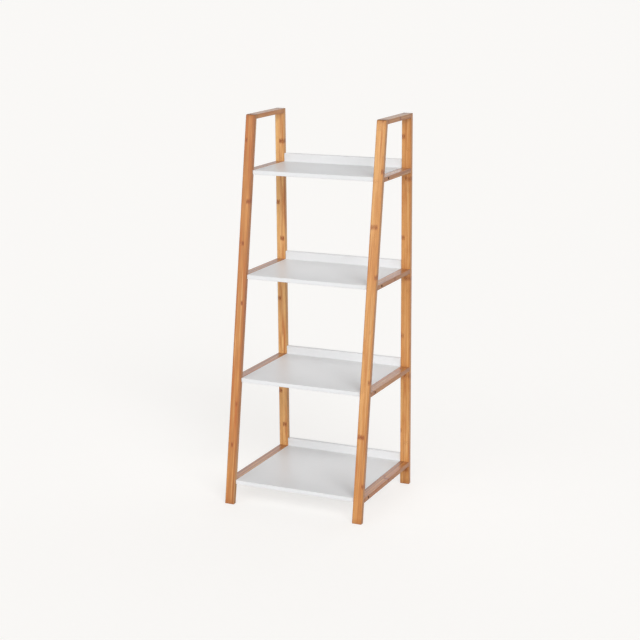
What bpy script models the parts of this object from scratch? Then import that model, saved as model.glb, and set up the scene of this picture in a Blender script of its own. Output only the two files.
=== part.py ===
"""Four-tier ladder shelf: two flat bamboo side frames joined by four white lacquered shelves.

Units are metres. +Z is up, +Y points to the wall behind the shelf, and +X to the right as seen from the front.
The origin is on the floor, at the middle of the footprint.
"""

import math

import bmesh
import bpy
from mathutils import Matrix, Vector

# Overall size
HEIGHT = 1.100
WIDTH = 0.427
FLOOR_DEPTH = 0.373
TOP_DEPTH = 0.1965

# Bamboo boards of the two side frames
BOARD_WIDTH = 0.0285
BOARD_THICKNESS = 0.013
BOARD_EDGE_RADIUS = 0.0015
POST_TOP_RADIUS = 0.0055
POST_TOP_STEPS = 6

# Shelves, counted from the top. Heights are those of the upper faces.
SHELF_COUNT = 4
LOWEST_SHELF_HEIGHT = 0.0695
SHELF_PITCH = 0.292
SHELF_THICKNESS = 0.012
SHELF_SETBACK = 0.004
SHELF_EDGE_RADIUS = 0.0012
LIP_RISE = 0.024
LIP_THICKNESS = 0.012

# Wooden dowels: one in each joint of a side frame, and one near the rear of each end of a shelf.
# Depths are those before and behind the joint's face.
DOWEL_SIDES = 12
BORE_END_PLAY = 0.0005
FRAME_DOWEL_RADIUS = 0.004
FRAME_DOWEL_IN_POST = 0.008
FRAME_DOWEL_IN_RAIL = 0.016
SHELF_DOWEL_RADIUS = 0.003
SHELF_DOWEL_IN_RAIL = 0.012
SHELF_DOWEL_IN_SHELF = 0.018
SHELF_DOWEL_INSET = 0.030

# Hex-socket furniture screws, one near the front of each end of a shelf
SCREW_LENGTH = 0.045
SCREW_HEAD_RADIUS = 0.0035
SCREW_RIM_LENGTH = 0.002
SCREW_HEAD_LENGTH = 0.0045
SCREW_SHANK_RADIUS = 0.0025
SCREW_RECESS = 0.0006
SCREW_SIDES = 12
SCREW_INSET = 0.030
SOCKET_WIDTH = 0.004
SOCKET_DEPTH = 0.0025
BORE_OVERRUN = 0.002

# Clearance between pieces that touch, and the shape of rounded edges
GAP = 0.0003
EDGE_STEPS = 2
SHARP_ANGLE = math.radians(30)
TOLERANCE = 1e-6

# Values that follow from the driving dimensions
WALL_Y = FLOOR_DEPTH / 2
REAR_POST_FACE_Y = WALL_Y - BOARD_THICKNESS
FRONT_FOOT_Y = -FLOOR_DEPTH / 2
FRONT_TOP_Y = WALL_Y - TOP_DEPTH
LEAN = math.atan2(FRONT_TOP_Y - FRONT_FOOT_Y, HEIGHT)
FRONT_POST_DEPTH = BOARD_THICKNESS / math.cos(LEAN)
FRAME_X = (WIDTH - BOARD_WIDTH) / 2
SHELF_WIDTH = WIDTH - 2 * BOARD_WIDTH - 2 * GAP
SHELF_HEIGHTS = [LOWEST_SHELF_HEIGHT + SHELF_PITCH * (SHELF_COUNT - 1 - i) for i in range(SHELF_COUNT)]
RAIL_TOPS = {"top_bar": HEIGHT} | {f"side_rail_{i + 1}": top for i, top in enumerate(SHELF_HEIGHTS)}
SIDES = {"left": -1, "right": 1}


def post_front_y(z):
    """Where the leaning post's front face is at a height."""
    return FRONT_FOOT_Y + (FRONT_TOP_Y - FRONT_FOOT_Y) * z / HEIGHT


def post_back_y(z):
    """Where the leaning post's back face is at a height."""
    return post_front_y(z) + FRONT_POST_DEPTH


def clear_scene():
    for thing in list(bpy.data.objects):
        bpy.data.objects.remove(thing, do_unlink=True)


def make_material(name, colour, roughness, metallic=0.0):
    material = bpy.data.materials.new(name)
    material.use_nodes = True
    shader = material.node_tree.nodes["Principled BSDF"]
    shader.inputs["Base Color"].default_value = (*colour, 1.0)
    shader.inputs["Roughness"].default_value = roughness
    shader.inputs["Metallic"].default_value = metallic
    return material


def mesh_from(bm, name, material):
    """Turns a finished bmesh into a mesh with one material, its faces pointing out."""
    bmesh.ops.recalc_face_normals(bm, faces=bm.faces)
    mesh = bpy.data.meshes.new(name)
    bm.to_mesh(mesh)
    bm.free()
    mesh.materials.append(material)
    mesh.shade_smooth()
    mesh.set_sharp_from_angle(angle=SHARP_ANGLE)
    return mesh


def add_object(name, mesh, parent=None):
    thing = bpy.data.objects.new(name, mesh)
    bpy.context.scene.collection.objects.link(thing)
    thing.parent = parent
    return thing


def extruded(outline, width):
    """A solid with an outline in the YZ plane, centred on X."""
    bm = bmesh.new()
    near = [bm.verts.new((-width / 2, y, z)) for y, z in outline]
    far = [bm.verts.new((width / 2, y, z)) for y, z in outline]
    bm.faces.new(near)
    bm.faces.new(list(reversed(far)))
    for i in range(len(outline)):
        j = (i + 1) % len(outline)
        bm.faces.new((near[i], near[j], far[j], far[i]))
    bmesh.ops.recalc_face_normals(bm, faces=bm.faces)
    return bm


def round_edges(bm, edges, radius):
    bmesh.ops.bevel(
        bm,
        geom=edges,
        offset=radius,
        offset_type="OFFSET",
        segments=EDGE_STEPS,
        profile=0.5,
        affect="EDGES",
        clamp_overlap=True,
    )


def is_sharp(edge):
    return edge.calc_face_angle() > SHARP_ANGLE


def runs_along(edge, axis):
    """True for an edge parallel to a main axis."""
    run = edge.verts[1].co - edge.verts[0].co
    return abs(run[axis]) > run.length - TOLERANCE


def lies_at(edge, axis, value):
    return all(abs(vert.co[axis] - value) < TOLERANCE for vert in edge.verts)


def post_mesh(name, outline, material):
    """An upright board, with every edge eased."""
    bm = extruded(outline, BOARD_WIDTH)
    round_edges(bm, [edge for edge in bm.edges if is_sharp(edge)], BOARD_EDGE_RADIUS)
    return mesh_from(bm, name, material)


def front_post_outline():
    """The leaning post: level ends, and a quarter round over its top front corner."""
    turn = math.pi / 2 - LEAN
    run = POST_TOP_RADIUS * math.tan(turn / 2)
    centre_y = FRONT_TOP_Y + run
    centre_z = HEIGHT - POST_TOP_RADIUS
    outline = [(post_back_y(0), 0), (FRONT_FOOT_Y, 0)]
    for step in range(POST_TOP_STEPS + 1):
        angle = math.pi - LEAN - turn * step / POST_TOP_STEPS
        y = centre_y + POST_TOP_RADIUS * math.cos(angle)
        z = centre_z + POST_TOP_RADIUS * math.sin(angle)
        outline.append((y, z))
    outline.append((post_back_y(HEIGHT), HEIGHT))
    return outline


def rear_post_outline():
    return [(WALL_Y, 0), (REAR_POST_FACE_Y, 0), (REAR_POST_FACE_Y, HEIGHT), (WALL_Y, HEIGHT)]


def rail_mesh(name, top, material):
    """A board lying flat between the posts, its front end cut to the lean of the front post."""
    bottom = top - BOARD_THICKNESS
    rear = REAR_POST_FACE_Y - GAP
    outline = [
        (rear, bottom),
        (post_back_y(bottom) + GAP, bottom),
        (post_back_y(top) + GAP, top),
        (rear, top),
    ]
    bm = extruded(outline, BOARD_WIDTH)
    round_edges(bm, [edge for edge in bm.edges if runs_along(edge, 1)], BOARD_EDGE_RADIUS)
    return mesh_from(bm, name, material)


def shelf_front_y(top):
    return post_front_y(top) + SHELF_SETBACK


def shelf_mesh(name, top, material):
    """A panel that ends at the rear posts' front faces, its front edges and corners rounded."""
    bottom = top - SHELF_THICKNESS
    front = shelf_front_y(top)
    rear = REAR_POST_FACE_Y - GAP
    bm = extruded([(rear, bottom), (front, bottom), (front, top), (rear, top)], SHELF_WIDTH)
    round_edges(bm, [edge for edge in bm.edges if lies_at(edge, 1, front)], SHELF_EDGE_RADIUS)
    return mesh_from(bm, name, material)


def lip_mesh(name, shelf_top, material):
    """A strip on edge behind the shelf, between the rear posts, standing above the shelf."""
    bottom = shelf_top - SHELF_THICKNESS
    top = shelf_top + LIP_RISE
    front = REAR_POST_FACE_Y
    rear = front + LIP_THICKNESS
    bm = extruded([(rear, bottom), (front, bottom), (front, top), (rear, top)], SHELF_WIDTH)
    long_top_edges = [edge for edge in bm.edges if lies_at(edge, 2, top) and runs_along(edge, 0)]
    round_edges(bm, long_top_edges, SHELF_EDGE_RADIUS)
    return mesh_from(bm, name, material)


def ring(bm, radius, distance, sides, place, hexagon=False):
    """One ring of a turned shape, at a distance along its own X axis."""
    verts = []
    for i in range(sides):
        angle = 2 * math.pi * i / sides
        reach = radius
        if hexagon and i % 2:
            reach = radius * math.cos(math.pi / 6)
        point = Vector((distance, reach * math.cos(angle), reach * math.sin(angle)))
        verts.append(bm.verts.new(place @ point))
    return verts


def join_rings(bm, rings):
    """Walls between neighbouring rings, and a flat cap on the first and the last."""
    for low, high in zip(rings, rings[1:]):
        for i in range(len(low)):
            j = (i + 1) % len(low)
            bm.faces.new((low[i], low[j], high[j], high[i]))
    bm.faces.new(rings[0])
    bm.faces.new(list(reversed(rings[-1])))


def add_peg(bm, place, low, high, radius, sides):
    """A plain round peg along the X axis of a placement."""
    join_rings(bm, [ring(bm, radius, distance, sides, place) for distance in (low, high)])


def add_screw(bm, place):
    """A countersunk hex-socket screw. Its head's face is at zero and its point at +X of the placement."""
    socket_corner = SOCKET_WIDTH / 2 / math.cos(math.pi / 6)
    rings = [
        ring(bm, socket_corner, SOCKET_DEPTH, SCREW_SIDES, place, hexagon=True),
        ring(bm, socket_corner, 0, SCREW_SIDES, place, hexagon=True),
    ]
    profile = [
        (SCREW_HEAD_RADIUS, 0),
        (SCREW_HEAD_RADIUS, SCREW_RIM_LENGTH),
        (SCREW_SHANK_RADIUS, SCREW_HEAD_LENGTH),
        (SCREW_SHANK_RADIUS, SCREW_LENGTH),
    ]
    rings += [ring(bm, radius, distance, SCREW_SIDES, place) for radius, distance in profile]
    join_rings(bm, rings)


def add_screw_bore(bm, place):
    """The stepped hole that a screw sits in, open to the outside of the rail."""
    profile = [
        (SCREW_HEAD_RADIUS + GAP, -SCREW_RECESS - BORE_OVERRUN),
        (SCREW_HEAD_RADIUS + GAP, SCREW_RIM_LENGTH + GAP),
        (SCREW_SHANK_RADIUS + GAP, SCREW_HEAD_LENGTH + GAP),
        (SCREW_SHANK_RADIUS + GAP, SCREW_LENGTH + BORE_END_PLAY),
    ]
    join_rings(bm, [ring(bm, radius, distance, SCREW_SIDES, place) for radius, distance in profile])


def frame_dowel_places():
    """A placement for each joint of the frames, its +X running from the post into the rail or bar."""
    backwards = Matrix.Rotation(math.pi / 2, 4, "Z")
    forwards = Matrix.Rotation(-math.pi / 2, 4, "Z")
    places = {}
    for word, side in SIDES.items():
        for board, top in RAIL_TOPS.items():
            x = side * FRAME_X
            z = top - BOARD_THICKNESS / 2
            front = Matrix.Translation((x, post_back_y(z), z))
            rear = Matrix.Translation((x, REAR_POST_FACE_Y, z))
            places[f"dowel_front_{board}_{word}"] = front @ backwards
            places[f"dowel_rear_{board}_{word}"] = rear @ forwards
    return places


def inwards(side):
    """Turns +X from a side of the object towards its middle."""
    return Matrix.Rotation(math.pi / 2 + side * math.pi / 2, 4, "Z")


def shelf_dowel_places():
    """A placement for each hidden dowel at the rear of a shelf's ends, its +X running into the shelf."""
    places = {}
    for word, side in SIDES.items():
        x = side * (WIDTH / 2 - BOARD_WIDTH)
        for i, top in enumerate(SHELF_HEIGHTS):
            middle = Vector((x, REAR_POST_FACE_Y - SHELF_DOWEL_INSET, top - SHELF_THICKNESS / 2))
            places[f"shelf_dowel_{i + 1}_{word}"] = Matrix.Translation(middle) @ inwards(side)
    return places


def screw_places():
    """A placement for each screw through the front of a side rail, its +X running inwards."""
    places = {}
    for word, side in SIDES.items():
        x = side * (WIDTH / 2 - SCREW_RECESS)
        for i, top in enumerate(SHELF_HEIGHTS):
            z = top - SHELF_THICKNESS / 2
            head = Vector((x, post_back_y(z) + SCREW_INSET, z))
            places[f"shelf_screw_{i + 1}_{word}"] = Matrix.Translation(head) @ inwards(side)
    return places


def add_copies(places, mesh):
    for name, place in places.items():
        add_object(name, mesh).matrix_world = place


def add_dowels(name, places, low, high, radius, material):
    bm = bmesh.new()
    add_peg(bm, Matrix(), low, high, radius, DOWEL_SIDES)
    add_copies(places, mesh_from(bm, name, material))


def add_screws(places, material):
    bm = bmesh.new()
    add_screw(bm, Matrix())
    add_copies(places, mesh_from(bm, "shelf_screw", material))


def add_cutter(name, bm, material):
    cutter = add_object(name, mesh_from(bm, name, material))
    cutter.hide_render = True
    cutter.display_type = "WIRE"
    return cutter


def add_dowel_bores(name, places, low, high, radius, material):
    bm = bmesh.new()
    for place in places.values():
        add_peg(bm, place, low - BORE_END_PLAY, high + BORE_END_PLAY, radius + GAP, DOWEL_SIDES)
    return add_cutter(name, bm, material)


def add_screw_bores(places, material):
    bm = bmesh.new()
    for place in places.values():
        add_screw_bore(bm, place)
    return add_cutter("screw_bores", bm, material)


def bore(thing, *cutters):
    for cutter in cutters:
        cut = thing.modifiers.new(cutter.name, "BOOLEAN")
        cut.operation = "DIFFERENCE"
        cut.solver = "EXACT"
        cut.object = cutter


def build_side_frames(bamboo, frame_bores, shelf_bores):
    """Both side frames: a leaning post, an upright post, a top bar and a rail for each shelf."""
    posts = {
        "front_post": post_mesh("front_post", front_post_outline(), bamboo),
        "rear_post": post_mesh("rear_post", rear_post_outline(), bamboo),
    }
    rails = {name: rail_mesh(name, top, bamboo) for name, top in RAIL_TOPS.items()}
    for word, side in SIDES.items():
        frame = add_object(f"{word}_frame", None)
        frame.location.x = side * FRAME_X
        for name, mesh in (posts | rails).items():
            board = add_object(f"{name}_{word}", mesh, frame)
            bore(board, frame_bores)
            if name.startswith("side_rail"):
                bore(board, *shelf_bores)


def build_shelves(lacquer, shelf_bores):
    """Each shelf panel, and the lip glued behind it."""
    for i, top in enumerate(SHELF_HEIGHTS):
        shelf_name = f"shelf_{i + 1}"
        lip_name = f"rear_lip_{i + 1}"
        bore(add_object(shelf_name, shelf_mesh(shelf_name, top, lacquer)), *shelf_bores)
        add_object(lip_name, lip_mesh(lip_name, top, lacquer))


def main():
    clear_scene()
    bamboo = make_material("bamboo", (0.58, 0.30, 0.115), 0.42)
    lacquer = make_material("white_lacquer", (0.84, 0.84, 0.835), 0.33)
    beech = make_material("dowel_wood", (0.62, 0.45, 0.27), 0.65)
    steel = make_material("dark_steel", (0.11, 0.10, 0.095), 0.38, 0.9)

    frame_dowels = (-FRAME_DOWEL_IN_POST, FRAME_DOWEL_IN_RAIL, FRAME_DOWEL_RADIUS, beech)
    shelf_dowels = (-SHELF_DOWEL_IN_RAIL, SHELF_DOWEL_IN_SHELF, SHELF_DOWEL_RADIUS, beech)
    frame_bores = add_dowel_bores("frame_dowel_bores", frame_dowel_places(), *frame_dowels)
    shelf_dowel_bores = add_dowel_bores("shelf_dowel_bores", shelf_dowel_places(), *shelf_dowels)
    shelf_bores = (shelf_dowel_bores, add_screw_bores(screw_places(), steel))
    build_side_frames(bamboo, frame_bores, shelf_bores)
    build_shelves(lacquer, shelf_bores)
    add_dowels("frame_dowel", frame_dowel_places(), *frame_dowels)
    add_dowels("shelf_dowel", shelf_dowel_places(), *shelf_dowels)
    add_screws(screw_places(), steel)


main()
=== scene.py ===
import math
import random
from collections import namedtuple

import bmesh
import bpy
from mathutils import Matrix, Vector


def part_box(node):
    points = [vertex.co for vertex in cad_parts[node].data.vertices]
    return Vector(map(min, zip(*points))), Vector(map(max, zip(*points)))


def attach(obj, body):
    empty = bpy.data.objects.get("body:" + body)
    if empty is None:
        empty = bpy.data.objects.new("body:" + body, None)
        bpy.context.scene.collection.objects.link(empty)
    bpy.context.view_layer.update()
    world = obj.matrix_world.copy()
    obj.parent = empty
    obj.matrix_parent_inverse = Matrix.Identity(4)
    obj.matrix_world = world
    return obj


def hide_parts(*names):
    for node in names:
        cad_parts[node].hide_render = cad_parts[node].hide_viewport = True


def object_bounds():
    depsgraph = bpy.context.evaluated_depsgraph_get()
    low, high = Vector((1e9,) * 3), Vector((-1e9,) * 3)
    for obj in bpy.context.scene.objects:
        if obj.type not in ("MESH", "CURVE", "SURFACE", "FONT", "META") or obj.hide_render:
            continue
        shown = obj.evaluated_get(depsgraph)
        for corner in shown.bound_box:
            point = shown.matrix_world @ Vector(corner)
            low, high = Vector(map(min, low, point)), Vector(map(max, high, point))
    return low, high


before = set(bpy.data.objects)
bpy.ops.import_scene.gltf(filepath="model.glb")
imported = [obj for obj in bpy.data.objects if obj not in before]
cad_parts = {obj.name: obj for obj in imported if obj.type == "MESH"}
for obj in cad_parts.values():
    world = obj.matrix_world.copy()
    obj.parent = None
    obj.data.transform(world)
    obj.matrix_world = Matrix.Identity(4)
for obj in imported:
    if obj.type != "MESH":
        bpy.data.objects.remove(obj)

# The looks of a four-tier ladder shelf: two bamboo side frames joined by white lacquered shelves.
#
# Each visible piece is a finely rounded board, panel, pin or screw that stands for one CAD node and takes
# its place and size from that node. Units are metres, +Z is up and +Y points to the wall behind the shelf.
#
# A board is drawn from its six faces. Its mesh also carries measures that its material reads everywhere:
#   grain                    the place in the board: across it, through its thickness and along its length
#   margin_low, margin_high  the distances to its three low and its three high faces
#   axis                     the direction that its fibres run in
#   lot                      a seed, a shade, and how the shade drifts along it, as no two boards are alike; the posts' shades also hold painted light

CAD_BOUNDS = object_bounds()

SIDES = ("left", "right")
SHELVES = ("1", "2", "3", "4")
X_AXIS = Vector((1, 0, 0))
Y_AXIS = Vector((0, 1, 0))
Z_AXIS = Vector((0, 0, 1))
BODY = "root"
SUFFIX = "_visual"
SEED = 11

# Rounding of the edges
BOARD_EDGE = 0.0015
BOARD_END_EDGE = 0.0003
POST_TOP_EDGE = 0.0055
PANEL_FRONT_EDGE = 0.0012
PANEL_SIDE_EDGE = 0.0005
EDGE_STEPS = 4
BOARD_END_STEPS = 2
PANEL_SIDE_STEPS = 3
POST_TOP_STEPS = 12
SHARP_ANGLE = math.radians(30)
ON_PLANE = 1e-5

# Holes for the dowels and screws, wider than what they hold. The cutter of a screw's hole flares at its
# mouth and runs on past the board's face.
CLEARANCE = 0.0003
HOLE_SIDES = 48
HOLE_FLARE = 0.0004
HOLE_OVERRUN = 0.004
BORE_END_PLAY = 0.0005

# Fluted dowels
FLUTES = 12
SIDES_PER_FLUTE = 4
FLUTE_DEPTH = 0.0003
DOWEL_CHAMFER = 0.0010

# Countersunk hex-socket screws, along their own length from the head's face
SCREW_SIDES = 48
SCREW_RIM_EDGE = 0.0003
SCREW_RIM_LENGTH = 0.002
SCREW_HEAD_LENGTH = 0.0045
SCREW_SHANK_RADIUS = 0.0025
SOCKET_WIDTH = 0.004
SOCKET_DEPTH = 0.0025
SOCKET_CHAMFER = 0.0003
POINT_LENGTH = 0.002

# Shade of each post and bar, and how much paler it is at its upper or rear end than at the other. Above
# zero is paler, below is darker. The rails of one side share a shade, with a random spread about it.
# The shades are partly painted light: the rear posts are paler, to make up for the shade they stand in
SHADES = {
    "front_post_left": (-0.34, 0.05),
    "front_post_right": (0.04, 0.26),
    "rear_post_left": (0.58, 0.20),
    "rear_post_right": (0.14, -0.10),
    "top_bar_left": (-0.10, 0.1),
    "top_bar_right": (-0.05, 0.2),
}
RAIL_SHADES = {"left": -0.66, "right": -0.46}
RAIL_SHADE_SPREAD = 0.12
RAIL_DRIFT = 0.15

# The noise on each piece starts from a random seed, anywhere from 0 to this
SEED_REACH = 40

# Camera: a long lens, to the right of the front and higher than the shelf. Its distance, its offset to the
# right and its height are measured from the floor between the front faces of the rear posts.
CAMERA_LENS = 85.46
SENSOR_WIDTH = 36.0
CAMERA_AZIMUTH = math.radians(24.81)
CAMERA_PITCH = math.radians(13.67)
CAMERA_ROLL = math.radians(-0.443)
CAMERA_DISTANCE = 4.368
CAMERA_HEIGHT = 1.546
CAMERA_OFFSET = -0.0668
CAMERA_REACH = 500.0

Plane = namedtuple("Plane", "point normal")


# ---------------------------------------------------------------- shapes


def middle(node):
    low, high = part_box(node)
    return (low + high) / 2


def size(node):
    low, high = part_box(node)
    return high - low


def box_faces(node, across, through, along):
    """The six faces of an upright box: low and high across it, through it and along it."""
    low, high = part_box(node)
    faces = []
    for axis in (across, through, along):
        faces += [Plane(low, -axis), Plane(high, axis)]
    return faces


def leaning_face(side):
    """The front face of a leaning post, the largest flat face it has."""
    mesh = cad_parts[f"front_post_{side}"].data
    face = max(mesh.polygons, key=lambda polygon: polygon.area)
    return Plane(face.center.copy(), face.normal.copy())


def front_post_faces(side):
    """A leaning board with level ends."""
    node = f"front_post_{side}"
    front = leaning_face(side)
    thickness = size(f"rear_post_{side}").y
    back = Plane(front.point - front.normal * thickness, -front.normal)
    faces = box_faces(node, X_AXIS, Y_AXIS, Z_AXIS)
    return faces[:2] + [front, back] + faces[4:]


def rail_faces(node, side):
    """A flat board between the posts, its front end cut to the front post's lean."""
    faces = box_faces(node, X_AXIS, Z_AXIS, Y_AXIS)
    low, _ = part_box(node)
    return faces[:4] + [Plane(low, leaning_face(side).normal), faces[5]]


def meet(a, b, c):
    """The point where three planes cross."""
    turned = (
        b.normal.cross(c.normal) * a.point.dot(a.normal)
        + c.normal.cross(a.normal) * b.point.dot(b.normal)
        + a.normal.cross(b.normal) * c.point.dot(c.normal)
    )
    return turned / a.normal.dot(b.normal.cross(c.normal))


def blank(faces):
    """A sharp-edged block with these six faces."""
    bm = bmesh.new()
    corner = {}
    for i in (0, 1):
        for j in (2, 3):
            for k in (4, 5):
                corner[i, j, k] = bm.verts.new(meet(faces[i], faces[j], faces[k]))
    turns = ((0, 2), (0, 3), (1, 3), (1, 2))
    for k in (4, 5):
        bm.faces.new([corner[i, j, k] for i, j in turns])
    for (i, j), (m, n) in zip(turns, turns[1:] + turns[:1]):
        bm.faces.new((corner[i, j, 4], corner[m, n, 4], corner[m, n, 5], corner[i, j, 5]))
    bmesh.ops.recalc_face_normals(bm, faces=bm.faces)
    return bm


def lies_on(edge, plane):
    return all(abs((vert.co - plane.point).dot(plane.normal)) < ON_PLANE for vert in edge.verts)


def sharp_edges(bm):
    return [edge for edge in bm.edges if edge.calc_face_angle() > SHARP_ANGLE]


def round_edges(bm, edges, radius, steps=EDGE_STEPS):
    bmesh.ops.bevel(
        bm,
        geom=edges,
        offset=radius,
        offset_type="OFFSET",
        segments=steps,
        profile=0.5,
        affect="EDGES",
        clamp_overlap=True,
    )


def post_shape(faces, round_top=False):
    """A post with eased edges. The leaning post's top front corner is a quarter round."""
    bm = blank(faces)
    if round_top:
        front, top = faces[2], faces[5]
        corner = [edge for edge in bm.edges if lies_on(edge, front) and lies_on(edge, top)]
        turn = front.normal.angle(top.normal)
        round_edges(bm, corner, POST_TOP_EDGE * math.tan(turn / 2), POST_TOP_STEPS)
    round_edges(bm, sharp_edges(bm), BOARD_EDGE)
    return bm


def rail_shape(faces):
    """A board with eased long edges, its sawn ends only just broken."""
    bm = blank(faces)
    ends = faces[4], faces[5]
    long_edges = [edge for edge in bm.edges if not any(lies_on(edge, end) for end in ends)]
    round_edges(bm, long_edges, BOARD_EDGE)
    round_edges(bm, sharp_edges(bm), BOARD_END_EDGE, BOARD_END_STEPS)
    return bm


def panel_shape(faces, shown):
    """A lacquered panel, rounder along the faces that are seen edge on."""
    bm = blank(faces)
    front = [edge for edge in bm.edges if any(lies_on(edge, face) for face in shown)]
    round_edges(bm, front, PANEL_FRONT_EDGE)
    round_edges(bm, sharp_edges(bm), PANEL_SIDE_EDGE, PANEL_SIDE_STEPS)
    return bm


def ring(bm, place, distance, radii):
    """One ring of a turned shape round its own X axis, with a radius for each of its points."""
    verts = []
    for i, radius in enumerate(radii):
        angle = 2 * math.pi * i / len(radii)
        point = Vector((distance, radius * math.cos(angle), radius * math.sin(angle)))
        verts.append(bm.verts.new(place @ point))
    return verts


def turn(bm, place, profile):
    """A closed turned shape through rings of (distance, radii), with a flat cap at both ends."""
    rings = [ring(bm, place, distance, radii) for distance, radii in profile]
    for low, high in zip(rings, rings[1:]):
        for i in range(len(low)):
            j = (i + 1) % len(low)
            bm.faces.new((low[i], low[j], high[j], high[i]))
    bm.faces.new(rings[0])
    bm.faces.new(list(reversed(rings[-1])))


def circle(radius, sides=HOLE_SIDES):
    return [radius] * sides


def hexagon(width, sides=SCREW_SIDES):
    """The reach of a hexagon of that width across its flats, in each direction."""
    sixth = math.pi / 3
    radii = []
    for i in range(sides):
        angle = (2 * math.pi * i / sides) % sixth
        radii.append(width / 2 / math.cos(angle - sixth / 2))
    return radii


def fluted(radius):
    """A circle with shallow grooves for the glue."""
    radii = []
    for i in range(FLUTES * SIDES_PER_FLUTE):
        groove = i % SIDES_PER_FLUTE == 0
        radii.append(radius - FLUTE_DEPTH if groove else radius)
    return radii


def frame_dowel_place(node):
    """Along +Y, from the dowel's front end."""
    low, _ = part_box(node)
    centre = middle(node)
    return Matrix.Translation((centre.x, low.y, centre.z)) @ Matrix.Rotation(math.pi / 2, 4, "Z")


def shelf_dowel_place(node):
    """Along +X, from the dowel's left end."""
    low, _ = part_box(node)
    centre = middle(node)
    return Matrix.Translation((low.x, centre.y, centre.z))


def screw_place(node):
    """Inwards along X, from the middle of the head's face."""
    low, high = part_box(node)
    centre = middle(node)
    if centre.x > 0:
        return Matrix.Translation((high.x, centre.y, centre.z)) @ Matrix.Rotation(math.pi, 4, "Z")
    return Matrix.Translation((low.x, centre.y, centre.z))


def dowel_profile(length, radius):
    end = circle(radius - DOWEL_CHAMFER, FLUTES * SIDES_PER_FLUTE)
    body = fluted(radius)
    return [(0, end), (DOWEL_CHAMFER, body), (length - DOWEL_CHAMFER, body), (length, end)]


def screw_profile(length, head_radius):
    """From the bottom of the hex socket, over the head's rounded rim, to the blunt point."""
    socket = hexagon(SOCKET_WIDTH)
    mouth = circle(SOCKET_WIDTH / 2 / math.cos(math.pi / 6) + SOCKET_CHAMFER)
    profile = [(SOCKET_DEPTH, socket), (SOCKET_CHAMFER * 2, socket), (0, mouth)]
    for step in range(EDGE_STEPS + 1):
        angle = math.pi / 2 * step / EDGE_STEPS
        distance = SCREW_RIM_EDGE * (1 - math.cos(angle))
        radius = head_radius - SCREW_RIM_EDGE * (1 - math.sin(angle))
        profile.append((distance, circle(radius)))
    profile += [
        (SCREW_RIM_LENGTH, circle(head_radius)),
        (SCREW_HEAD_LENGTH, circle(SCREW_SHANK_RADIUS)),
        (length - POINT_LENGTH, circle(SCREW_SHANK_RADIUS)),
        (length, circle(SCREW_SHANK_RADIUS / 2)),
    ]
    return profile


def screw_hole_profile(length, head_radius, recess):
    """A stepped hole. Its mouth flares at 45 degrees to the board's face and on past it."""
    mouth = head_radius + CLEARANCE
    return [
        (-recess - HOLE_OVERRUN, circle(mouth + HOLE_FLARE + HOLE_OVERRUN)),
        (-recess + HOLE_FLARE, circle(mouth)),
        (SCREW_RIM_LENGTH + CLEARANCE, circle(mouth)),
        (SCREW_HEAD_LENGTH + CLEARANCE, circle(SCREW_SHANK_RADIUS + CLEARANCE)),
        (length + BORE_END_PLAY, circle(SCREW_SHANK_RADIUS + CLEARANCE)),
    ]


def nodes_named(start):
    return sorted(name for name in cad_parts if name.startswith(start))


def dowel_size(nodes):
    """The length and radius that a set of dowels shares."""
    extent = size(nodes[0])
    return max(extent), min(extent) / 2


def cutter(name, bm):
    thing = new_object(name, bm)
    thing.hide_render = True
    thing.display_type = "WIRE"
    return thing


def dowel_holes(nodes, place_of):
    bm = bmesh.new()
    length, radius = dowel_size(nodes)
    radii = circle(radius + CLEARANCE)
    for node in nodes:
        turn(bm, place_of(node), [(-BORE_END_PLAY, radii), (length + BORE_END_PLAY, radii)])
    return cutter("dowel_holes", bm)


def screw_holes():
    bm = bmesh.new()
    outside = CAD_BOUNDS[1].x
    for node in nodes_named("shelf_screw_"):
        extent = size(node)
        recess = outside - max(abs(corner.x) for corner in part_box(node))
        turn(bm, screw_place(node), screw_hole_profile(extent.x, extent.y / 2, recess))
    return cutter("screw_holes", bm)


# ---------------------------------------------------------------- pieces


def new_object(name, bm):
    bmesh.ops.recalc_face_normals(bm, faces=bm.faces)
    mesh = bpy.data.meshes.new(name)
    bm.to_mesh(mesh)
    bm.free()
    thing = bpy.data.objects.new(name, mesh)
    bpy.context.scene.collection.objects.link(thing)
    return thing


def drill(thing, *cutters):
    """Cuts the holes, and keeps the result as the object's own mesh."""
    for tool in cutters:
        cut = thing.modifiers.new(tool.name, "BOOLEAN")
        cut.operation = "DIFFERENCE"
        cut.solver = "EXACT"
        cut.object = tool
    graph = bpy.context.evaluated_depsgraph_get()
    drilled = bpy.data.meshes.new_from_object(thing.evaluated_get(graph), depsgraph=graph)
    thing.modifiers.clear()
    thing.data = drilled


def smooth(thing):
    """Rounded edges shade smoothly, and the flat faces between them stay flat."""
    thing.data.shade_smooth()
    thing.data.set_sharp_from_angle(angle=SHARP_ANGLE)
    even = thing.modifiers.new("even_shading", "WEIGHTED_NORMAL")
    even.keep_sharp = True


def store(mesh, name, vectors):
    layer = mesh.attributes.new(name, "FLOAT_VECTOR", "POINT")
    layer.data.foreach_set("vector", [value for vector in vectors for value in vector])


def measure(thing, faces, lot):
    """Writes a board's measures into its mesh."""
    mesh = thing.data
    across = faces[1].normal
    along = faces[0].normal.cross(faces[2].normal).normalized()
    through = along.cross(across)
    centre = sum((face.point for face in faces[4:]), Vector()) / 2
    points = [vert.co.copy() for vert in mesh.vertices]
    places = [point - centre for point in points]
    store(mesh, "grain", [(p.dot(across), p.dot(through), p.dot(along)) for p in places])
    for name, trio in (("margin_low", faces[0::2]), ("margin_high", faces[1::2])):
        store(mesh, name, [[(f.point - p).dot(f.normal) for f in trio] for p in points])
    store(mesh, "axis", [along] * len(points))
    store(mesh, "lot", [lot] * len(points))


def place_piece(thing, node, material):
    """The piece stands for its CAD node and rides with it."""
    thing.name = node + SUFFIX
    thing.data.name = thing.name
    thing.data.materials.clear()
    thing.data.materials.append(material)
    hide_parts(node)
    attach(thing, BODY)


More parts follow.
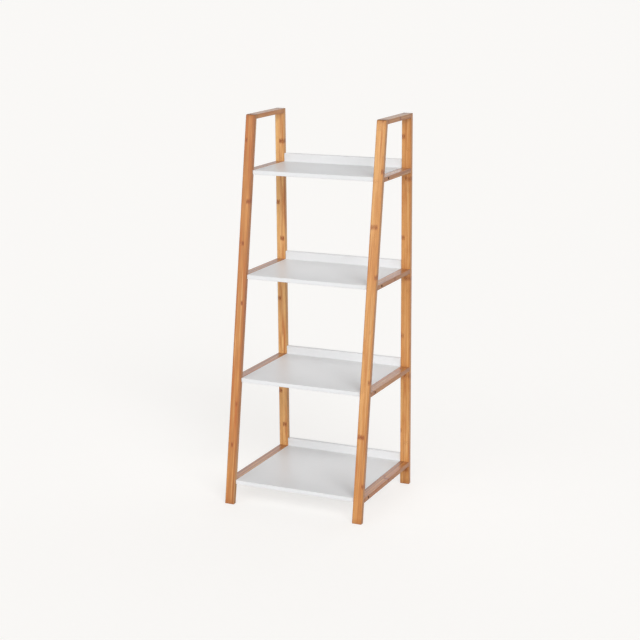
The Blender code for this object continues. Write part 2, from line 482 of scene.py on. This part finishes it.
def add_board(node, faces, bm, cutters, material, lot):
    thing = new_object(node + SUFFIX, bm)
    drill(thing, *cutters)
    measure(thing, faces, lot)
    smooth(thing)
    place_piece(thing, node, material)


def new_lot(dice, shade=0.0, drift=0.0):
    return (dice.uniform(0, SEED_REACH), shade, drift)


def add_side_frames(material, frame_cutter, shelf_cutters, dice):
    for side in SIDES:
        boards = {
            f"front_post_{side}": (front_post_faces(side), True),
            f"rear_post_{side}": (box_faces(f"rear_post_{side}", X_AXIS, Y_AXIS, Z_AXIS), False),
        }
        for node, (faces, round_top) in boards.items():
            shade, drift = SHADES[node]
            lot = new_lot(dice, shade, drift / size(node).z)
            shape = post_shape(faces, round_top)
            add_board(node, faces, shape, [frame_cutter], material, lot)
        for node in [f"top_bar_{side}"] + [f"side_rail_{shelf}_{side}" for shelf in SHELVES]:
            faces = rail_faces(node, side)
            drills = [frame_cutter]
            if node in SHADES:
                shade, drift = SHADES[node]
            else:
                drills += shelf_cutters
                shade = RAIL_SHADES[side] + dice.uniform(-RAIL_SHADE_SPREAD, RAIL_SHADE_SPREAD)
                drift = RAIL_DRIFT
            lot = new_lot(dice, shade, drift / size(node).y)
            add_board(node, faces, rail_shape(faces), drills, material, lot)


def add_shelves(material, shelf_cutters, dice):
    for shelf in SHELVES:
        panel = f"shelf_{shelf}"
        faces = box_faces(panel, Y_AXIS, Z_AXIS, X_AXIS)
        shape = panel_shape(faces, [faces[0]])
        add_board(panel, faces, shape, shelf_cutters, material, new_lot(dice))
        lip = f"rear_lip_{shelf}"
        faces = box_faces(lip, Z_AXIS, Y_AXIS, X_AXIS)
        shape = panel_shape(faces, [faces[1]])
        add_board(lip, faces, shape, [], material, new_lot(dice))


def add_turned(nodes, place_of, profile, material, dice):
    """The same turned shape at every node, each with its own measures."""
    for node in nodes:
        place = place_of(node)
        bm = bmesh.new()
        turn(bm, place, profile)
        thing = new_object(node + SUFFIX, bm)
        mesh = thing.data
        back = place.inverted()
        places = [back @ vert.co for vert in mesh.vertices]
        store(mesh, "grain", [(p.y, p.z, p.x) for p in places])
        axis = place.to_3x3() @ X_AXIS
        store(mesh, "axis", [axis] * len(places))
        store(mesh, "lot", [new_lot(dice)] * len(places))
        smooth(thing)
        place_piece(thing, node, material)


def add_fasteners(frame_dowels, shelf_dowels, wood, steel, dice):
    for nodes, place_of in ((frame_dowels, frame_dowel_place), (shelf_dowels, shelf_dowel_place)):
        profile = dowel_profile(*dowel_size(nodes))
        add_turned(nodes, place_of, profile, wood, dice)
    screws = nodes_named("shelf_screw_")
    extent = size(screws[0])
    profile = screw_profile(extent.x, extent.y / 2)
    add_turned(screws, screw_place, profile, steel, dice)


# ---------------------------------------------------------------- nodes

# The parts of a measure that run across a board and along it
ACROSS = 0
ALONG = 2

Tint = namedtuple("Tint", "strength colour")
Bump = namedtuple("Bump", "distance strength")

# How squarely a face has to cut the fibres to show end grain: the start and the full effect
END_GRAIN_SPAN = (0.25, 0.8)


class Nodes:
    """The node tree of a material or a world, and short ways to add nodes to it.

    A scale is a pair: waves per metre across and along the fibres. A span is a pair of values, from where a
    change starts to where it is complete.
    """

    def __init__(self, owner):
        owner.use_nodes = True
        self.tree = owner.node_tree

    def put(self, socket, value):
        """Links another node's output to the socket, or sets a plain value."""
        if isinstance(value, bpy.types.NodeSocket):
            self.tree.links.new(value, socket)
        else:
            socket.default_value = value

    def add(self, kind, *values, **settings):
        """A node of that kind, with its first sockets filled in order."""
        node = self.tree.nodes.new("ShaderNode" + kind)
        for name, value in settings.items():
            setattr(node, name, value)
        for socket, value in zip(node.inputs, values):
            self.put(socket, value)
        return node

    def fill(self, node, **values):
        """Fills a node's sockets by name."""
        for name, value in values.items():
            self.put(node.inputs[name.replace("_", " ")], value)
        return node

    def math(self, operation, *values):
        return self.add("Math", *values, operation=operation).outputs[0]

    def vector(self, operation, *values):
        node = self.add("VectorMath", *values, operation=operation)
        return node.outputs["Value" if operation == "DOT_PRODUCT" else "Vector"]

    def total(self, *values):
        result = values[0]
        for value in values[1:]:
            result = self.math("ADD", result, value)
        return result

    def times(self, a, b):
        return self.math("MULTIPLY", a, b)

    def split(self, vector):
        return self.add("SeparateXYZ", vector).outputs[:3]

    def join(self, x, y, z):
        return self.add("CombineXYZ", x, y, z).outputs[0]

    def ease(self, value, span, before=0.0, after=1.0):
        """One value before the span, another after it, and a smooth change over it."""
        node = self.add("MapRange", value, *span, before, after, interpolation_type="SMOOTHSTEP")
        return node.outputs["Result"]

    def fade(self, value, span):
        """1 before the span and 0 after it."""
        return self.ease(value, span, 1.0, 0.0)

    def swing(self, value, reach):
        """A 0 to 1 value as a swing either side of zero."""
        return self.times(self.math("SUBTRACT", value, 0.5), reach)

    def stretch(self, place, scale, seed):
        """A place on the noise's own scale, moved by a seed."""
        across, along = scale
        scaled = self.vector("MULTIPLY", place, (across, across, along))
        return self.vector("ADD", scaled, self.join(seed, seed, seed))

    def noise(self, place, scale, seed, detail=2.0, roughness=0.5):
        node = self.add("TexNoise", noise_dimensions="3D")
        spot = self.stretch(place, scale, seed)
        self.fill(node, Vector=spot, Scale=1.0, Detail=detail, Roughness=roughness)
        return node.outputs["Fac"]

    def dots(self, place, scale, seed, span):
        """A scatter of small dots, each 1 at its middle and 0 outside."""
        node = self.add("TexVoronoi", feature="F1")
        self.fill(node, Vector=self.stretch(place, scale, seed), Scale=1.0)
        return self.fade(node.outputs["Distance"], span)

    def dice(self, x, y, z=0.0):
        """Three random numbers for each whole-numbered place."""
        node = self.add("TexWhiteNoise", noise_dimensions="3D")
        self.fill(node, Vector=self.join(x, y, z))
        return self.split(node.outputs["Color"])

    def ramp(self, value, stops):
        node = self.add("ValToRGB", value)
        elements = node.color_ramp.elements
        while len(elements) < len(stops):
            elements.new(0.5)
        for element, (position, colour) in zip(elements, stops):
            element.position = position
            element.color = (*colour, 1.0)
        return node.outputs["Color"]

    def tint(self, colour, mask, tint):
        """Lays a tint over a colour where the mask is above 0."""
        node = self.add("Mix", data_type="RGBA")
        sockets = [socket for socket in node.inputs if socket.enabled]
        values = self.times(mask, tint.strength), colour, (*tint.colour, 1.0)
        for socket, value in zip(sockets, values):
            self.put(socket, value)
        return next(socket for socket in node.outputs if socket.enabled)

    def bump(self, height, bump, under=None):
        node = self.fill(self.add("Bump"), Height=height, Distance=bump.distance, Strength=bump.strength)
        if under is not None:
            self.fill(node, Normal=under)
        return node.outputs["Normal"]


class Finish(Nodes):
    """A material that reads the measures stored in a piece's mesh."""

    def __init__(self, name):
        self.material = bpy.data.materials.new(name)
        super().__init__(self.material)
        self.shader = self.tree.nodes["Principled BSDF"]

    def set(self, **values):
        self.fill(self.shader, **values)

    def read(self, name):
        """A measure stored in the mesh."""
        return self.add("Attribute", attribute_name=name).outputs["Vector"]

    def lot(self):
        """The board's seed, its shade, and how the shade drifts along it."""
        return self.split(self.read("lot"))

    def edge_distance(self):
        """How far a point is from the nearest edge of its board, along the surface."""
        least = self.vector("MINIMUM", self.read("margin_low"), self.read("margin_high"))
        x, y, z = self.split(least)
        most = self.math("MAXIMUM", self.math("MAXIMUM", x, y), z)
        return self.math("SUBTRACT", self.total(x, y, z), most)

    def near_faces(self, direction, span):
        """1 at the two faces that bound a board in that direction, fading over a span of distances."""
        low = self.split(self.read("margin_low"))[direction]
        high = self.split(self.read("margin_high"))[direction]
        return self.fade(self.math("MINIMUM", low, high), span)

    def end_grain(self):
        """1 where the surface is cut across the fibres."""
        normal = self.add("NewGeometry").outputs["Normal"]
        facing = self.math("ABSOLUTE", self.vector("DOT_PRODUCT", normal, self.read("axis")))
        return self.ease(facing, END_GRAIN_SPAN)


# ---------------------------------------------------------------- bamboo

# The lamination. A board's seed moves its strips sideways, and each strip has its own part of the noise.
STRIP_WIDTH = 0.0066
STRIP_SHIFT = 0.001
STRIP_NOISE_STEP = 3.7
GLUE_LINE_SPAN = (0.470, 0.496)

# The knots, which strips split from one stem share. Each is a dark line in a brown patch, with spans that
# are distances along the strip. The depth is how strongly a strip shows its knot.
STRIPS_PER_STEM = 3
KNOT_PITCH = 0.29
KNOT_START_REACH = 7.0
KNOT_BOW = 0.009
KNOT_RIPPLE = 0.0060
KNOT_RIPPLE_SCALE = (300.0, 110.0)
KNOT_DEPTH_SPAN = (0.20, 0.60)
KNOT_LINE_SPAN = (0.0003, 0.0016)
KNOT_PATCH_SPAN = (0.0024, 0.0098)

# Scales of the noise in the wood
FIBRE_SCALE = (2300.0, 16.0)
STREAK_SCALE = (620.0, 5.0)
PATCH_SCALE = (95.0, 13.0)
CLOUD_SCALE = (30.0, 3.0)
FLECK_SCALE = (1250.0, 42.0)
STAIN_SCALE = (60.0, 7.0)
BLEACH_SCALE = (240.0, 3.0)
WEAR_SCALE = (160.0, 40.0)
WAVE_SCALE = (55.0, 9.0)

# How far the strips and the noise swing the tone, how much of that reaches the ramp, and the ramp
STRIP_SWING = 0.50
STREAK_SWING = 0.62
FIBRE_SWING = 0.42
PATCH_SWING = 0.70
CLOUD_SWING = 0.50
TONE_SHARE = 0.62
BAMBOO_TONES = (
    (0.0, (0.29, 0.094, 0.021)),
    (0.2, (0.47, 0.166, 0.039)),
    (0.5, (0.67, 0.282, 0.073)),
    (0.8, (0.87, 0.470, 0.168)),
    (1.0, (0.94, 0.565, 0.228)),
)

# How far the strips and the stains swing the redness, and the spans over which the tints come in. The last
# three are distances from an edge, a narrow side and an end.
STRIP_REDNESS = 0.60
STAIN_REDNESS = 2.4
REDNESS_SPAN = (-0.05, 0.70)
BLEACH_SPAN = (0.54, 0.68)
FLECK_SPAN = (0.10, 0.34)
WEAR_SPAN = (0.05, 0.6)
EDGE_DARKENING_SPAN = (0.0005, 0.0045)
SIDE_SHADE_SPAN = (0.0003, 0.0012)
END_SHADE_SPAN = (0.0, 0.022)

# The tints, in the order in which they are laid over each other
RED_STAIN = Tint(0.80, (0.54, 0.150, 0.028))
BLEACHED = Tint(0.60, (0.83, 0.50, 0.20))
DARK_FLECK = Tint(0.32, (0.33, 0.125, 0.036))
GLUE_LINE = Tint(0.34, (0.34, 0.14, 0.045))
KNOT_PATCH = Tint(0.88, (0.36, 0.082, 0.013))
KNOT_LINE = Tint(0.50, (0.18, 0.045, 0.010))
# Darker near every edge, broken into patches by a noise
EDGE_DARKENING = Tint(0.36, (0.38, 0.155, 0.055))
# Painted shade: the narrow sides of each board are darkened, as if they got less light than the broad faces
PAINTED_SIDE_SHADE = Tint(0.14, (0.30, 0.130, 0.055))
# Painted shade: each board is darker within 22 mm of its ends, where it meets the other boards or the floor
BOARD_END = Tint(0.34, (0.34, 0.095, 0.022))
SAWN_END = Tint(0.75, (0.22, 0.105, 0.05))

BAMBOO_ROUGHNESS = 0.36
GRAIN_BUMP = Bump(0.00006, 0.5)
WAVE_BUMP = Bump(0.0005, 0.25)


def bamboo_strips(n, grain, seed):
    """Which strip of the lamination a point is in, how far across it, and that strip's random numbers."""
    place = n.math("ADD", n.split(grain)[ACROSS], n.times(seed, STRIP_SHIFT))
    place = n.math("DIVIDE", place, STRIP_WIDTH)
    strip = n.math("FLOOR", place)
    within = n.math("SUBTRACT", n.math("FRACT", place), 0.5)
    return strip, within, n.dice(strip, seed)


def bamboo_knots(n, grain, seed, strip, within):
    """The stem's joints: the line and the patch of each, as masks."""
    stem = n.math("FLOOR", n.math("DIVIDE", n.math("ADD", strip, 0.5), STRIPS_PER_STEM))
    start, _, _ = n.dice(stem, seed)
    place = n.math("DIVIDE", n.split(grain)[ALONG], KNOT_PITCH)
    place = n.math("ADD", place, n.times(start, KNOT_START_REACH))
    depth, lean, _ = n.dice(strip, seed, n.math("FLOOR", place))
    away = n.times(n.math("SUBTRACT", n.math("FRACT", place), 0.5), KNOT_PITCH)
    # The square of within is a quarter at most
    bow = n.times(n.times(within, within), n.swing(lean, KNOT_BOW * 4))
    ripple = n.swing(n.noise(grain, KNOT_RIPPLE_SCALE, seed), KNOT_RIPPLE)
    away = n.math("ABSOLUTE", n.total(away, bow, ripple))
    depth = n.ease(depth, KNOT_DEPTH_SPAN)
    return n.times(n.fade(away, KNOT_LINE_SPAN), depth), n.times(n.fade(away, KNOT_PATCH_SPAN), depth)


def bamboo():
    """Varnished bamboo, glued up from narrow strips on edge."""
    n = Finish("bamboo")
    grain = n.read("grain")
    seed, shade, drift = n.lot()
    strip, within, (strip_shade, strip_hue, _) = bamboo_strips(n, grain, seed)
    line, patch = bamboo_knots(n, grain, seed, strip, within)

    strip_seed = n.math("ADD", seed, n.times(strip, STRIP_NOISE_STEP))
    fibres = n.noise(grain, FIBRE_SCALE, strip_seed, 3.0, 0.6)
    swings = n.total(
        shade,
        n.times(n.split(grain)[ALONG], drift),
        n.swing(strip_shade, STRIP_SWING),
        n.swing(n.noise(grain, STREAK_SCALE, strip_seed, 2.0, 0.55), STREAK_SWING),
        n.swing(fibres, FIBRE_SWING),
        n.swing(n.noise(grain, PATCH_SCALE, strip_seed), PATCH_SWING),
        n.swing(n.noise(grain, CLOUD_SCALE, seed), CLOUD_SWING),
    )
    colour = n.ramp(n.total(0.5, n.times(swings, TONE_SHARE)), BAMBOO_TONES)

    stain = n.noise(grain, STAIN_SCALE, strip_seed)
    redness = n.total(n.swing(strip_hue, STRIP_REDNESS), n.swing(stain, STAIN_REDNESS))
    bleached = n.ease(n.noise(grain, BLEACH_SCALE, seed), BLEACH_SPAN)
    flecks = n.dots(grain, FLECK_SCALE, seed, FLECK_SPAN)
    glue = n.ease(n.math("ABSOLUTE", within), GLUE_LINE_SPAN)
    # The noise that breaks the darker edges into patches
    worn = n.ease(n.noise(grain, WEAR_SCALE, seed), WEAR_SPAN)
    darker_edges = n.times(n.fade(n.edge_distance(), EDGE_DARKENING_SPAN), worn)
    ends = n.end_grain()
    colour = n.tint(colour, n.ease(redness, REDNESS_SPAN), RED_STAIN)
    colour = n.tint(colour, bleached, BLEACHED)
    colour = n.tint(colour, flecks, DARK_FLECK)
    colour = n.tint(colour, glue, GLUE_LINE)
    colour = n.tint(colour, patch, KNOT_PATCH)
    colour = n.tint(colour, line, KNOT_LINE)
    colour = n.tint(colour, darker_edges, EDGE_DARKENING)
    # Painted shade on the narrow sides
    colour = n.tint(colour, n.near_faces(ACROSS, SIDE_SHADE_SPAN), PAINTED_SIDE_SHADE)
    # Painted shade near the board's ends
    colour = n.tint(colour, n.near_faces(ALONG, END_SHADE_SPAN), BOARD_END)
    colour = n.tint(colour, ends, SAWN_END)

    roughness = n.total(
        BAMBOO_ROUGHNESS,
        n.swing(fibres, 0.14),
        n.times(ends, 0.14),
        n.times(darker_edges, 0.06),
    )
    height = n.total(
        n.times(fibres, 0.45),
        n.times(flecks, -0.35),
        n.times(glue, -0.6),
        n.times(line, 0.2),
    )
    wave = n.bump(n.noise(grain, WAVE_SCALE, seed), WAVE_BUMP)
    n.set(Base_Color=colour, Roughness=roughness, Normal=n.bump(height, GRAIN_BUMP, wave))
    n.set(Coat_Weight=1.0, Coat_Roughness=0.26, Coat_IOR=1.42, IOR=1.3)
    return n.material


# ---------------------------------------------------------------- lacquer

LACQUER_CLOUD_SCALE = (7.0, 7.0)
LACQUER_MOTTLE_SCALE = (90.0, 90.0)
LACQUER_PEEL_SCALE = (420.0, 420.0)
LACQUER_DUST_SCALE = (140.0, 140.0)
LACQUER_WEAR_SCALE = (240.0, 240.0)
LACQUER_DUST_SPAN = (0.02, 0.06)
LACQUER_WEAR_SPAN = (0.35, 0.7)
LACQUER_EDGE_SPAN = (0.0002, 0.0014)
LACQUER_TONES = ((0.0, (0.845, 0.850, 0.854)), (1.0, (0.895, 0.900, 0.905)))
THIN_PAINT = Tint(0.45, (0.74, 0.71, 0.67))
DUST = Tint(0.12, (0.70, 0.69, 0.67))
LACQUER_ROUGHNESS = 0.36
LACQUER_BUMP = Bump(0.00003, 0.45)


def lacquer():
    """Satin white lacquer, rolled on smooth board: a faint orange peel, and thinner paint on the edges."""
    n = Finish("white_lacquer")
    grain = n.read("grain")
    seed, _, _ = n.lot()
    clouds = n.noise(grain, LACQUER_CLOUD_SCALE, seed, 3.0)
    mottle = n.noise(grain, LACQUER_MOTTLE_SCALE, seed)
    peel = n.noise(grain, LACQUER_PEEL_SCALE, seed)
    dust = n.dots(grain, LACQUER_DUST_SCALE, seed, LACQUER_DUST_SPAN)
    edge = n.fade(n.edge_distance(), LACQUER_EDGE_SPAN)
    thin = n.times(edge, n.ease(n.noise(grain, LACQUER_WEAR_SCALE, seed), LACQUER_WEAR_SPAN))
    colour = n.ramp(n.total(0.5, n.swing(clouds, 1.1), n.swing(mottle, 0.5)), LACQUER_TONES)
    colour = n.tint(colour, thin, THIN_PAINT)
    colour = n.tint(colour, dust, DUST)
    roughness = n.total(
        LACQUER_ROUGHNESS,
        n.swing(clouds, 0.08),
        n.swing(mottle, 0.05),
        n.times(edge, 0.08),
    )
    normal = n.bump(n.total(peel, n.times(dust, 0.6)), LACQUER_BUMP)
    n.set(Base_Color=colour, Roughness=roughness, Normal=normal, IOR=1.42)
    return n.material


# ---------------------------------------------------------------- steel

STEEL_BLOTCH_SCALE = (900.0, 900.0)
STEEL_PIT_SCALE = (5200.0, 5200.0)
STEEL_WEAR_SCALE = (2100.0, 2100.0)
STEEL_WEAR_SPAN = (0.60, 0.75)
STEEL_TONES = ((0.25, (0.045, 0.030, 0.022)), (0.75, (0.12, 0.082, 0.060)))
BRIGHT_STEEL = Tint(0.4, (0.30, 0.24, 0.20))
STEEL_ROUGHNESS = 0.32
STEEL_BUMP = Bump(0.00002, 0.5)


def dark_steel():
    """Blackened steel with a little bright wear."""
    n = Finish("dark_steel")
    grain = n.read("grain")
    seed, _, _ = n.lot()
    blotches = n.noise(grain, STEEL_BLOTCH_SCALE, seed, 3.0)
    pits = n.noise(grain, STEEL_PIT_SCALE, seed)
    worn = n.ease(n.noise(grain, STEEL_WEAR_SCALE, seed), STEEL_WEAR_SPAN)
    colour = n.tint(n.ramp(blotches, STEEL_TONES), worn, BRIGHT_STEEL)
    roughness = n.total(STEEL_ROUGHNESS, n.swing(blotches, 0.25), n.times(worn, -0.06))
    n.set(Base_Color=colour, Roughness=roughness, Normal=n.bump(pits, STEEL_BUMP), Metallic=0.9)
    return n.material


# ---------------------------------------------------------------- beech

BEECH_FIBRE_SCALE = (2600.0, 40.0)
BEECH_BAND_SCALE = (500.0, 12.0)
BEECH_FLECK_SCALE = (1500.0, 500.0)
BEECH_FLECK_SPAN = (0.1, 0.3)
BEECH_TONES = ((0.0, (0.50, 0.33, 0.18)), (1.0, (0.68, 0.50, 0.31)))
BEECH_FLECK = Tint(0.4, (0.36, 0.21, 0.11))
BEECH_END = Tint(0.4, (0.36, 0.23, 0.13))
BEECH_ROUGHNESS = 0.62
BEECH_BUMP = Bump(0.00008, 0.5)


def dowel_wood():
    """Plain beech with short dark flecks."""
    n = Finish("dowel_wood")
    grain = n.read("grain")
    seed, _, _ = n.lot()
    fibres = n.noise(grain, BEECH_FIBRE_SCALE, seed, 3.0)
    bands = n.noise(grain, BEECH_BAND_SCALE, seed)
    colour = n.ramp(n.total(0.5, n.swing(fibres, 0.5), n.swing(bands, 0.7)), BEECH_TONES)
    colour = n.tint(colour, n.dots(grain, BEECH_FLECK_SCALE, seed, BEECH_FLECK_SPAN), BEECH_FLECK)
    colour = n.tint(colour, n.end_grain(), BEECH_END)
    roughness = n.total(BEECH_ROUGHNESS, n.swing(fibres, 0.16))
    n.set(Base_Color=colour, Roughness=roughness, Normal=n.bump(fibres, BEECH_BUMP))
    return n.material


# ---------------------------------------------------------------- stage, light and camera

FLOOR_RADIUS = 400.0
FLOOR_SIDES = 96
FLOOR_COLOUR = (0.890, 0.876, 0.858, 1.0)
FLOOR_DIMMING = Tint(0.55, (0.0, 0.0, 0.0))
FLOOR_GLOW = 0.767
BACKDROP_COLOUR = (0.945, 0.938, 0.924, 1.0)
ROOM_COLOUR = (0.98, 0.99, 1.0, 1.0)
KEY_STRENGTH = 1.08
KEY_SPREAD = math.radians(28)
KEY_ELEVATION = math.radians(32)
KEY_AZIMUTH = math.radians(46)

# Strength of the room's light: the wall in front of the shelf, the ceiling and the sides between the walls,
# and the wall behind, which is brighter higher up
FRONT_WALL = 1.43
CEILING = 0.12
BACK_WALL_FOOT = 0.42
BACK_WALL_TOP = 1.12

# Where one strength gives way to the next, by how far a direction points to the back (Y) or up (Z)
FRONT_WALL_SPAN = (-0.35, -0.80)
BACK_WALL_SPAN = (0.25, 0.78)
BACK_WALL_RISE_SPAN = (0.05, 0.42)


def add_floor():
    """A pale floor that reaches past the view on every side.

    The camera sees it darker than it is, with a glow added that lights nothing, so its shadows are faint.
    """
    bm = bmesh.new()
    bmesh.ops.create_circle(bm, cap_ends=True, segments=FLOOR_SIDES, radius=FLOOR_RADIUS)
    floor = new_object("floor", bm)
    n = Finish("pale_floor")
    seen = n.add("LightPath").outputs["Is Camera Ray"]
    colour = n.tint(FLOOR_COLOUR, seen, FLOOR_DIMMING)
    n.set(Base_Color=colour, Roughness=0.9, Specular_IOR_Level=0.0)
    n.set(Emission_Color=FLOOR_COLOUR, Emission_Strength=n.times(seen, FLOOR_GLOW))
    n.material.cycles.emission_sampling = "NONE"
    floor.data.materials.append(n.material)


def studio():
    """A room with a bright wall in front of the shelf and another behind it. The camera sees a backdrop."""
    world = bpy.data.worlds.new("studio")
    n = Nodes(world)
    _, depth, height = n.split(n.add("TexCoord").outputs["Generated"])
    front = n.ease(depth, FRONT_WALL_SPAN, CEILING, FRONT_WALL)
    back = n.ease(height, BACK_WALL_RISE_SPAN, BACK_WALL_FOOT, BACK_WALL_TOP)
    strength = n.ease(depth, BACK_WALL_SPAN, front, back)
    room = n.fill(n.tree.nodes["Background"], Color=ROOM_COLOUR, Strength=strength)
    backdrop = n.add("Background", BACKDROP_COLOUR)
    seen = n.add("LightPath").outputs["Is Camera Ray"]
    either = n.add("MixShader", seen, room.outputs[0], backdrop.outputs[0])
    n.fill(n.tree.nodes["World Output"], Surface=either.outputs[0])
    return world


def add_light():
    """The room's own light, and one broad lamp above the right front."""
    scene = bpy.context.scene
    scene.world = studio()
    key = bpy.data.lights.new("key", "SUN")
    key.energy = KEY_STRENGTH
    key.angle = KEY_SPREAD
    lamp = bpy.data.objects.new("key", key)
    tilt = math.pi / 2 - KEY_ELEVATION
    lamp.matrix_world = Matrix.Rotation(KEY_AZIMUTH, 4, "Z") @ Matrix.Rotation(tilt, 4, "X")
    scene.collection.objects.link(lamp)


def add_camera():
    """The photo's view: from the front, a little to the right and from above the top of the shelf."""
    data = bpy.data.cameras.new("camera")
    data.lens = CAMERA_LENS
    data.sensor_width = SENSOR_WIDTH
    data.clip_end = CAMERA_REACH
    camera = bpy.data.objects.new("camera", data)
    forward = Vector((-math.sin(CAMERA_AZIMUTH), math.cos(CAMERA_AZIMUTH), 0))
    rightward = Vector((math.cos(CAMERA_AZIMUTH), math.sin(CAMERA_AZIMUTH), 0))
    anchor = Vector((0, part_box("rear_post_left")[0].y, 0))
    place = anchor - forward * CAMERA_DISTANCE + rightward * CAMERA_OFFSET + Z_AXIS * CAMERA_HEIGHT
    camera.matrix_world = (
        Matrix.Translation(place)
        @ Matrix.Rotation(CAMERA_AZIMUTH, 4, "Z")
        @ Matrix.Rotation(math.pi / 2 - CAMERA_PITCH, 4, "X")
        @ Matrix.Rotation(CAMERA_ROLL, 4, "Z")
    )
    scene = bpy.context.scene
    scene.collection.objects.link(camera)
    scene.camera = camera
    scene.view_settings.view_transform = "Standard"


# ---------------------------------------------------------------- the scene


def build():
    dice = random.Random(SEED)
    frame_dowels = nodes_named("dowel_")
    shelf_dowels = nodes_named("shelf_dowel_")
    frame_cutter = dowel_holes(frame_dowels, frame_dowel_place)
    shelf_cutters = [dowel_holes(shelf_dowels, shelf_dowel_place), screw_holes()]
    add_side_frames(bamboo(), frame_cutter, shelf_cutters, dice)
    add_shelves(lacquer(), shelf_cutters, dice)
    add_fasteners(frame_dowels, shelf_dowels, dowel_wood(), dark_steel(), dice)
    for tool in (frame_cutter, *shelf_cutters):
        bpy.data.objects.remove(tool)
    add_floor()
    add_light()
    add_camera()


build()
